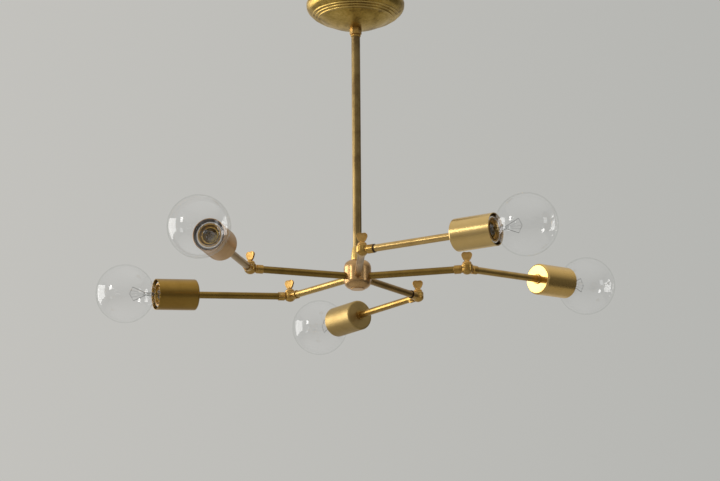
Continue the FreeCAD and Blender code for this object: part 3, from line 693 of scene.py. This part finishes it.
lobe_x = paddle_width / 2 - paddle_lobe
lobe_z = paddle_height - paddle_lobe
flank_reach = math.hypot(lobe_x - key_neck_radius, lobe_z)
flank_turn = math.degrees(math.atan2(-lobe_z, key_neck_radius - lobe_x)
                          + math.acos(paddle_lobe / flank_reach))
dip_radius = lobe_x / math.sin(math.radians(paddle_dip_turn)) - paddle_lobe
dip_centre = lobe_z + lobe_x / math.tan(math.radians(paddle_dip_turn))
lobe = arc(lobe_x, lobe_z, paddle_lobe, flank_turn, 90 + paddle_dip_turn, 16)
paddle_side = bow((key_neck_radius, 0), lobe[0], -flank_bow, 6)[:-1] + lobe
paddle_side += arc(0, dip_centre, dip_radius, paddle_dip_turn - 90, -90, 4)[1:-1]
paddle_edge = paddle_side + [(0, dip_centre - dip_radius)] + [(-x, z) for x, z in paddle_side[::-1]]
paddle = bmesh.new()
rim = [paddle.verts.new((x * MM, 0, (foot_top + z) * MM)) for x, z in paddle_edge]
faces = [paddle.faces.new(rim)]
sheet = bmesh.ops.extrude_face_region(paddle, geom=faces)["geom"]
front = [g for g in sheet if isinstance(g, bmesh.types.BMVert)]
bmesh.ops.translate(paddle, verts=front, vec=(0, paddle_thickness * MM, 0))
bmesh.ops.translate(paddle, verts=paddle.verts, vec=(0, -paddle_thickness / 2 * MM, 0))
bmesh.ops.recalc_face_normals(paddle, faces=paddle.faces)
wide = [f for f in paddle.faces if len(f.verts) > 4]
for width, share in ((0.35, 0.0), (0.9, -0.5), (1.2, -0.5)):
    bmesh.ops.inset_individual(paddle, faces=wide, thickness=width * MM, depth=share * paddle_dish * MM)
ease(paddle, 0.55, corner=60.0, segments=3)
key_shape = combine(stalk, paddle, "UNION")
key_tones = ((0.86, 0.55, 0.196), (0.7, 0.413, 0.122), (0.46, 0.249, 0.066), (0.25, 0.129, 0.035))
for n, number in enumerate(arm_numbers):
    finish = brass("key_patina_" + number, key_places[n], key_tones, rough=(0.34, 0.48), patch=70.0,
                   mottle=0.45, speck=0.3, seed=14.0 + n, grain=0.09)
    piece("wing_key_" + number, copy_at(key_shape, key_places[n]), "key_" + number, "key_brass", finish,
          "thumb_key_" + number)
key_shape.free()


# -------- outer arm tubes
# The second length of drawn brass tube, screwed into the swivel. Near its far end a small soldered
# stop ring stands proud, and the cup is pulled up against it.

reach = 136.9
cup_back = 1.5
holder_grip = 5.0
stop_ring_radius = 6.7
stop_ring_width = 2.0
outer_tones = (
    ((0.81, 0.559, 0.242), (0.684, 0.454, 0.167), (0.45, 0.28, 0.092), (0.234, 0.136, 0.046)),
    ((0.72, 0.484, 0.173), (0.558, 0.355, 0.104), (0.342, 0.204, 0.058), (0.18, 0.106, 0.029)),
    ((0.666, 0.423, 0.127), (0.486, 0.295, 0.075), (0.297, 0.174, 0.043), (0.153, 0.091, 0.023)),
    ((0.428, 0.273, 0.072), (0.303, 0.186, 0.041), (0.184, 0.112, 0.025), (0.096, 0.056, 0.013)),
    ((0.558, 0.363, 0.15), (0.405, 0.257, 0.098), (0.252, 0.151, 0.058), (0.135, 0.076, 0.029)),
)

tube_end = reach + cup_back + holder_grip
outer_shape = lathe([(arm_radius, tube_seat), (arm_radius, reach - stop_ring_width),
                     (stop_ring_radius, reach - stop_ring_width), (stop_ring_radius, reach),
                     (arm_radius, reach), (arm_radius, tube_end), (arm_bore, tube_end),
                     (arm_bore, tube_seat)], steps=56)
ease(outer_shape, 0.3)
lay_down(outer_shape)
for n, number in enumerate(arm_numbers):
    finish = brass("outer_arm_patina_" + number, swung_places[n], outer_tones[n], rough=(0.24, 0.36),
                   patch=40.0, speck=0.35, seed=20.0 + n)
    piece("outer_tube_" + number, copy_at(outer_shape, swung_places[n]), "arm_" + number, "arm_brass",
          finish, "outer_arm_" + number)
outer_shape.free()


# -------- cups
# Drawn brass cylinders over the lampholders, with a closed turned back and an open mouth, clamped
# between the stop ring and the lampholder. Fine lathe lines run round them. The back of the second
# is polished.

cup_radius = 21.25
cup_length = 57.0
cup_wall = 1.1
cup_edge = 2.7
cup_bore = 4.95
cup_mouth = reach + cup_length
polished_depth = 1.2

inside_edge = cup_edge - cup_wall
cup_floor = reach + cup_back
cup_path = [(cup_bore, reach)]
cup_path += arc(cup_radius - cup_edge, reach + cup_edge, cup_edge, -90, 0, 8)
cup_path += [(cup_radius, cup_mouth), (cup_radius - cup_wall, cup_mouth)]
cup_path += arc(cup_radius - cup_edge, cup_floor + inside_edge, inside_edge, 0, -90, 8)
cup_path += [(cup_bore, cup_floor)]
cup_shape = lathe(cup_path, steps=128)
ease(cup_shape, 0.28, corner=40.0)
lay_down(cup_shape)
cup_tones = (
    ((0.86, 0.62, 0.27), (0.78, 0.54, 0.21), (0.64, 0.42, 0.14), (0.44, 0.27, 0.08)),
    ((0.93, 0.64, 0.22), (0.88, 0.57, 0.18), (0.76, 0.47, 0.13), (0.56, 0.33, 0.09)),
    ((0.585, 0.417, 0.168), (0.507, 0.353, 0.132), (0.404, 0.271, 0.092), (0.284, 0.181, 0.056)),
    ((0.481, 0.29, 0.071), (0.381, 0.223, 0.047), (0.282, 0.162, 0.033), (0.182, 0.102, 0.021)),
    ((0.66, 0.389, 0.145), (0.536, 0.302, 0.102), (0.383, 0.209, 0.064), (0.242, 0.13, 0.038)),
)
cup_rough = ((0.21, 0.28), (0.22, 0.30), (0.44, 0.52), (0.28, 0.36), (0.30, 0.38))
cup_polish = (None, polished_depth * MM, None, None, None)
for n, number in enumerate(arm_numbers):
    middle = swung_places[n] @ Matrix.Translation((reach * MM, 0, 0))
    finish = brass("cup_satin_" + number, middle, cup_tones[n], rough=cup_rough[n], patch=26.0,
                   mottle=0.3, turned=0.16, speck=0.15, seed=26.0 + n, polished=cup_polish[n])
    piece("lamp_cup_" + number, copy_at(cup_shape, swung_places[n]), "arm_" + number, "cup_brass", finish,
          "cup_" + number)
cup_shape.free()


# -------- lampholders
# Glazed porcelain bodies inside the cups, each clamped by its rear boss to the end of the arm. The
# well in front is lined with the brass screw shell, whose lip lies on the porcelain.

holder_radius = 17.35
holder_recess = 3.0
holder_length = 36.0
holder_slope = 4.0
holder_boss_radius = 8.5
holder_edge = 1.0
well_radius = 13.35
wire_hole = 2.1
lip_radius = 15.5
lip_height = 0.25
lip_edge = 0.2
base_length = 27.0
base_sunk = 1.0
holder_face = cup_mouth - holder_recess
bulb_foot = holder_face - base_length - base_sunk

holder_wide = holder_face - holder_length
holder_shape = lathe([(arm_radius + tube_fit, cup_floor), (holder_boss_radius, cup_floor),
                      (holder_boss_radius, holder_wide - holder_slope), (holder_radius, holder_wide),
                      *arc(holder_radius - holder_edge, holder_face - holder_edge, holder_edge, 0, 90, 5),
                      (well_radius, holder_face), (well_radius, bulb_foot), (wire_hole, bulb_foot),
                      (wire_hole, cup_floor + holder_grip), (arm_radius + tube_fit, cup_floor + holder_grip)],
                     steps=96)
ease(holder_shape, 0.3, corner=40.0)
lay_down(holder_shape)

porcelain, tree, surface = new_material("glazed_porcelain")
own = own_coordinates(tree, upright())[0]
clay = noise(tree, own, 120.0, 4.0, 0.6)
tree.links.new(ramp(tree, clay, (0.35, (0.66, 0.63, 0.56)), (0.65, (0.80, 0.78, 0.72))),
               surface.inputs["Base Color"])
tree.links.new(remap(tree, clay, 0.3, 0.7, 0.24, 0.14), surface.inputs["Roughness"])
dimples = add(tree, "ShaderNodeBump", {"Height": noise(tree, own, 260.0), "Strength": 0.12,
                                       "Distance": 0.0004})
tree.links.new(dimples.outputs[0], surface.inputs["Normal"])
surface.inputs["Coat Weight"].default_value = 0.6
surface.inputs["Coat Roughness"].default_value = 0.06
for n, number in enumerate(arm_numbers):
    piece("porcelain_holder_" + number, copy_at(holder_shape, swung_places[n]), "arm_" + number,
          "porcelain", porcelain, "lampholder_" + number)
holder_shape.free()

lip_shape = lathe([(well_radius, holder_face), (well_radius, holder_face + lip_height),
                   *arc(lip_radius - lip_edge, holder_face + lip_height - lip_edge, lip_edge, 90, 0, 3),
                   (lip_radius, holder_face)], steps=72)
lay_down(lip_shape)
lip_brass = brass("shell_lip_brass", upright(), bright_tones, rough=(0.25, 0.4), patch=90.0, seed=31.0)
for n, number in enumerate(arm_numbers):
    piece("shell_lip_" + number, copy_at(lip_shape, swung_places[n]), "arm_" + number, "lamp_base_brass",
          lip_brass)
lip_shape.free()


# -------- bulb bases
# The screw shell of each bulb, rolled from thin brass sheet with its round thread, and closed below
# by a cone that ends in the contact. It screws into the lampholder's well.

base_radius = 13.0
base_wall = 0.5
base_shell_start = 6.6
thread_depth = 0.55
thread_pitch = 3.63
thread_turns = 5
thread_steps = 8
thread_run_out = 0.6
cone_step = 2.0
shell_floor = 1.0
contact_radius = 4.5
contact_edge = 1.0
contact_foot = 0.2
contact_height = 1.4

thread = []
for k in range(thread_turns * thread_steps + 1):
    height = base_shell_start + thread_pitch * k / thread_steps
    thread.append((base_radius - thread_depth * (1 + math.cos(math.tau * k / thread_steps)) / 2, height))
base_shape = lathe([(0, contact_foot), (contact_radius - contact_edge, contact_foot),
                    (contact_radius, contact_height),
                    (base_radius - cone_step, base_shell_start - cone_step), *thread,
                    (base_radius, thread[-1][1] + thread_run_out), (base_radius, base_length),
                    (base_radius - base_wall, base_length),
                    (base_radius - base_wall, base_shell_start + shell_floor),
                    (0, base_shell_start + shell_floor)], steps=96, closed=False)
ease(base_shape, 0.15, corner=50.0)
bulb_stand = Matrix.Translation((bulb_foot * MM, 0, 0)) @ along_x
base_tones = ((0.83, 0.64, 0.30), (0.70, 0.50, 0.20), (0.48, 0.33, 0.12), (0.28, 0.19, 0.07))
bulb_places = []
for n, number in enumerate(arm_numbers):
    bulb_places.append(swung_places[n] @ bulb_stand)
    finish = brass("lamp_base_" + number, swung_places[n], base_tones, rough=(0.16, 0.3), patch=70.0,
                   speck=0.2, seed=33.0 + n)
    piece("screw_base_" + number, copy_at(base_shape, bulb_places[n]), "arm_" + number, "lamp_base_brass",
          finish, "bulb_base_" + number)
base_shape.free()


# -------- bulb glass
# The clear 80 mm globe, blown thin, with a short neck cemented into the base. Through the neck shows
# the gold-brown ring where glass, cement and shell meet.

globe_radius = 40.0
glass_wall = 0.9
neck_step = 1.6
neck_radius = 13.2
neck_length = 3.5
neck_turn = 25.0
neck_seat = 11.0
neck_play = 0.35
foot_margin = 0.05
neck_ring_bore = 9.7
neck_ring_radius = 11.15
neck_ring_low = 2.2
neck_ring_high = 1.4
neck_end = base_length + neck_step + neck_length
neck_sine = math.sin(math.radians(neck_turn))
neck_bend = (globe_radius * neck_sine - neck_radius) / (1 - neck_sine)
globe_centre = neck_end + (globe_radius + neck_bend) * math.cos(math.radians(neck_turn))


def glass_side(inset):
    """Neck foot to crown along the glass, outside or inside."""
    seat = base_radius - base_wall - neck_play
    line = [(seat - inset, base_length - neck_seat), (seat - inset, base_length),
            (neck_radius - inset, base_length + neck_step)]
    line += arc(neck_radius + neck_bend, neck_end, neck_bend + inset, 180, 90 + neck_turn, 10)
    line += arc(0, globe_centre, globe_radius - inset, neck_turn - 90, 90, 56)[1:-1]
    line.append((0, globe_centre + globe_radius - inset))
    return line


glass_shape = lathe(glass_side(0.0) + glass_side(glass_wall)[::-1], steps=144)
for face in glass_shape.faces:
    if face.calc_center_median().z < (base_length + neck_step - foot_margin) * MM:
        face.material_index = 1


def thin_glass(name, tints, fall, shine, edge_shine, cloud, rough):
    """Glass that is clear face on, but darker and mirroring edge on. A high fall keeps that to the rim."""
    made, tree = new_material(name)[:2]
    tree.nodes.clear()
    out = tree.nodes.new("ShaderNodeOutputMaterial")
    facing = add(tree, "ShaderNodeLayerWeight", {"Blend": 0.5}).outputs["Facing"]
    edge_on = calculate(tree, "POWER", facing, fall)
    cloudy = noise(tree, own_coordinates(tree, upright())[0], cloud, 3.0, 0.5)
    through = add(tree, "ShaderNodeBsdfTransparent", {"Color": ramp(tree, edge_on, *tints)})
    gloss = add(tree, "ShaderNodeBsdfGlossy", {"Color": (1.0, 1.0, 1.0, 1.0),
                                               "Roughness": remap(tree, cloudy, 0.3, 0.7, *rough)})
    mirrored = calculate(tree, "ADD", calculate(tree, "MULTIPLY", edge_on, edge_shine), shine)
    mixed = add(tree, "ShaderNodeMixShader", {0: mirrored, 1: through.outputs[0], 2: gloss.outputs[0]})
    tree.links.new(mixed.outputs[0], out.inputs["Surface"])
    return made


glass_tints = ((0.0, (1.0, 1.0, 1.0)), (0.35, (0.985, 0.987, 0.985)), (1.0, (0.80, 0.81, 0.80)))
glass = thin_glass("clear_lamp_glass", glass_tints, fall=5.0, shine=0.045, edge_shine=0.22, cloud=24.0,
                   rough=(0.0, 0.03))
cement_shape = lathe([(neck_ring_bore, base_length - neck_ring_low),
                      (neck_ring_radius, base_length - neck_ring_low),
                      (neck_ring_radius, base_length - neck_ring_high),
                      (neck_ring_bore, base_length - neck_ring_high)], steps=72)
ease(cement_shape, 0.2)
cement_tones = ((0.88, 0.62, 0.2), (0.74, 0.49, 0.13), (0.52, 0.33, 0.09), (0.3, 0.19, 0.05))
for n, number in enumerate(arm_numbers):
    cement = brass("neck_seat_finish_" + number, swung_places[n], cement_tones, rough=(0.35, 0.5),
                   patch=120.0, seed=38.0 + n)
    globe = piece("globe_glass_" + number, copy_at(glass_shape, bulb_places[n]), "arm_" + number,
                  "clear_glass", glass, "bulb_glass_" + number)
    globe.data.materials.append(cement)
    piece("neck_seat_ring_" + number, copy_at(cement_shape, bulb_places[n]), "arm_" + number,
          "lamp_base_brass", cement)
glass_shape.free()
cement_shape.free()


# -------- bulb mounts
# The pressed glass stem inside each bulb, melted to the neck at its flare. It carries two leads and
# three thin support wires, which hold the coiled filament.

mount_radius = 2.9
mount_tip = 49.0
flare_height = 12.0
flare_radius = 10.9
flare_foot = 17.0
lead_radius = 0.3
support_radius = 0.11
lead_sink = 4.0
lead_rise = 14.0
lead_spread = 9.5
filament_rise = 5.0
flare_rise = 2.0
flare_rim = 1.2
flare_hollow = 2.2
lead_gap = 1.4
lead_root = 14.0
support_spread = 4.8
coil_radius = 0.3
coil_wire = 0.08
coil_steps = 240
coil_turn_steps = 6

mount_path = [(0, flare_foot + flare_rise), (flare_radius - flare_rim, flare_foot)]
mount_path += bow((flare_radius, flare_foot), (mount_radius, flare_foot + flare_height), -flare_hollow, 12)
mount_path += [(mount_radius, mount_tip - mount_radius)]
mount_path += dome(mount_radius, mount_tip - mount_radius, mount_tip, 8)[1:]
mount_shape = lathe(mount_path, steps=48, closed=False)


def wires(routes):
    """Round wires through lists of points in millimetres, each with its radius."""
    whole = bmesh.new()
    for radius, points in routes:
        curve = bpy.data.curves.new("wire", "CURVE")
        curve.dimensions = "3D"
        curve.bevel_depth = radius * MM
        curve.bevel_resolution = 2
        curve.use_fill_caps = True
        line = curve.splines.new("POLY")
        line.points.add(len(points) - 1)
        for spot, (x, y, z) in zip(line.points, points):
            spot.co = (x * MM, y * MM, z * MM, 1)
        made = bpy.data.objects.new("wire", curve)
        mesh = bpy.data.meshes.new_from_object(made)
        whole.from_mesh(mesh)
        bpy.data.meshes.remove(mesh)
        bpy.data.objects.remove(made)
        bpy.data.curves.remove(curve)
    bmesh.ops.remove_doubles(whole, verts=whole.verts, dist=1e-7)
    bmesh.ops.recalc_face_normals(whole, faces=whole.faces)
    return whole


lead_top = mount_tip + lead_rise
filament_top = lead_top + filament_rise
lead_exit = mount_tip - lead_sink
support_top = (lead_top + filament_top) / 2
strung = []
for side in (-1, 1):
    strung.append((lead_radius, [(side * lead_gap, 0, mount_tip - lead_root), (side * lead_gap, 0, lead_exit),
                                 (side * lead_spread, 0, lead_top)]))
for place in ((-support_spread, 0, support_top), (support_spread, 0, support_top), (0, 0, filament_top)):
    strung.append((support_radius, [(0, 0, lead_exit), place]))
coil = []
for k in range(coil_steps + 1):
    share = 2 * k / coil_steps - 1
    turn = math.tau * k / coil_turn_steps
    level = filament_top - filament_rise * abs(share)
    coil.append((lead_spread * share, coil_radius * math.cos(turn), level + coil_radius * math.sin(turn)))
strung.append((coil_wire, coil))
wire_shape = wires(strung)

stem_tints = ((0.0, (0.93, 0.935, 0.93)), (0.5, (0.74, 0.75, 0.745)), (1.0, (0.40, 0.41, 0.41)))
stem_glass = thin_glass("mount_glass", stem_tints, fall=2.5, shine=0.09, edge_shine=0.35, cloud=90.0,
                        rough=(0.02, 0.10))
nickel = plated("lead_wire", (0.20, 0.195, 0.19), (0.05, 0.05, 0.05), 0.3)
for n, number in enumerate(arm_numbers):
    piece("mount_stem_" + number, copy_at(mount_shape, bulb_places[n]), "arm_" + number,
          "lamp_mount_glass", stem_glass, "bulb_mount_" + number)
    piece("mount_wires_" + number, copy_at(wire_shape, bulb_places[n]), "arm_" + number,
          "lamp_mount_glass", nickel)
mount_shape.free()
wire_shape.free()


# -------- room, light and camera
# A pale floor far below, a pale wall all round that is lighter on the left, three soft window lights,
# and the camera, which looks slightly up at the lamp. Brass reflects a plain room of soft greys,
# brightest above and to the left.

floor_level = -2.35
floor_size = 7.0
floor_glow = 0.5
wall_left = (0.552, 0.544, 0.516)
wall_right = (0.446, 0.450, 0.430)
room_front = 0.30
room_left = 0.45
room_above = 0.75
room_right = 0.09
room_below = 0.05
room_fill = 0.55

floor_shape = bmesh.new()
bmesh.ops.create_grid(floor_shape, x_segments=8, y_segments=8, size=floor_size / 2)
bmesh.ops.translate(floor_shape, verts=floor_shape.verts, vec=(0, 0, floor_level))
floor_mesh = bpy.data.meshes.new("pale_floor")
floor_shape.to_mesh(floor_mesh)
floor_shape.free()
floor_finish, tree, surface = new_material("pale_plaster_floor")
ground = add(tree, "ShaderNodeTexCoord").outputs["Object"]
tree.links.new(ramp(tree, noise(tree, ground, 1.5), (0.3, (0.45, 0.443, 0.42)), (0.7, (0.48, 0.473, 0.45))),
               surface.inputs["Base Color"])
surface.inputs["Roughness"].default_value = 0.8
seen = add(tree, "ShaderNodeLightPath").outputs
pale = add(tree, "ShaderNodeEmission", {"Color": (0.62, 0.615, 0.595, 1.0)})
watched = calculate(tree, "MAXIMUM", seen["Is Camera Ray"], seen["Is Transmission Ray"])
share = calculate(tree, "MULTIPLY", watched, floor_glow)
lit = add(tree, "ShaderNodeMixShader", {0: share, 1: surface.outputs[0], 2: pale.outputs[0]})
tree.links.new(lit.outputs[0], tree.nodes["Material Output"].inputs["Surface"])
floor_mesh.materials.append(floor_finish)
floor = placed("pale_floor", floor_mesh)

world = bpy.data.worlds.new("pale_room")
bpy.context.scene.world = world
world.use_nodes = True
tree = world.node_tree
tree.nodes.clear()
out = tree.nodes.new("ShaderNodeOutputWorld")
look = add(tree, "ShaderNodeTexCoord").outputs["Generated"]
sides = add(tree, "ShaderNodeSeparateXYZ", {0: look}).outputs
wall = ramp(tree, remap(tree, sides[0], -0.2, 0.2, 0.0, 1.0), (0.0, wall_left), (1.0, wall_right))
leftward = remap(tree, sides[0], -0.25, -0.9, 0.0, 1.0)
rightward = remap(tree, sides[0], 0.15, 0.8, 0.0, 1.0)
upward = remap(tree, sides[2], 0.15, 1.0, 0.0, 1.0)
downward = remap(tree, sides[2], -0.05, -0.7, 0.0, 1.0)
behind = remap(tree, sides[1], 0.55, 0.9, 0.0, 1.0)
room = remap(tree, leftward, 0.0, 1.0, room_front, room_left)
for share, grey in ((rightward, room_right), (upward, room_above), (downward, room_below)):
    room = blend_colours(tree, share, room, (grey, grey, grey, 1.0))
room = blend_colours(tree, behind, room, wall)
path = add(tree, "ShaderNodeLightPath").outputs
around = blend_colours(tree, path["Is Glossy Ray"], wall, room)
seen = add(tree, "ShaderNodeBackground", {"Color": around, "Strength": 1.0})
fill = add(tree, "ShaderNodeBackground", {"Color": (room_fill, room_fill, room_fill, 1.0), "Strength": 1.0})
watched = calculate(tree, "MAXIMUM", path["Is Camera Ray"],
                    calculate(tree, "MAXIMUM", path["Is Glossy Ray"], path["Is Transmission Ray"]))
mixed = add(tree, "ShaderNodeMixShader", {0: watched, 1: fill.outputs[0], 2: seen.outputs[0]})
tree.links.new(mixed.outputs[0], out.inputs["Surface"])

lamp_middle = Vector((0, 0, -0.3))


def window(name, place, width, height, watts, colour):
    """A rectangular soft light that faces the lamp."""
    light = bpy.data.lights.new(name, "AREA")
    light.shape = "RECTANGLE"
    light.size = width
    light.size_y = height
    light.energy = watts
    light.color = colour
    made = placed(name, light)
    made.location = place
    made.rotation_euler = (Vector(place) - lamp_middle).to_track_quat("Z", "Y").to_euler()


window("window_left", (-2.88, 0.77, -0.1), 2.5, 1.7, 44, (1.0, 0.99, 0.97))
window("window_left_front", (-2.45, -1.59, 0.33), 0.5, 0.7, 7, (1.0, 0.99, 0.97))
window("window_right", (2.7, -1.26, -0.1), 0.7, 0.8, 3, (0.97, 0.985, 1.0))

view_lens = 130.79
view_sensor = 36.0
view_place = (0.1067, -3.4297, -1.1803)
view_pitch = 13.81
view_yaw = 1.72
view_roll = -0.46
camera_data = bpy.data.cameras.new("viewpoint")
camera_data.lens = view_lens
camera_data.sensor_width = view_sensor
camera = placed("viewpoint", camera_data)
camera.matrix_world = (Matrix.Translation(view_place) @ turn_z(view_yaw)
                       @ Matrix.Rotation(math.radians(90 + view_pitch), 4, "X") @ turn_z(view_roll))
bpy.context.scene.camera = camera
bpy.context.scene.view_settings.view_transform = "Standard"
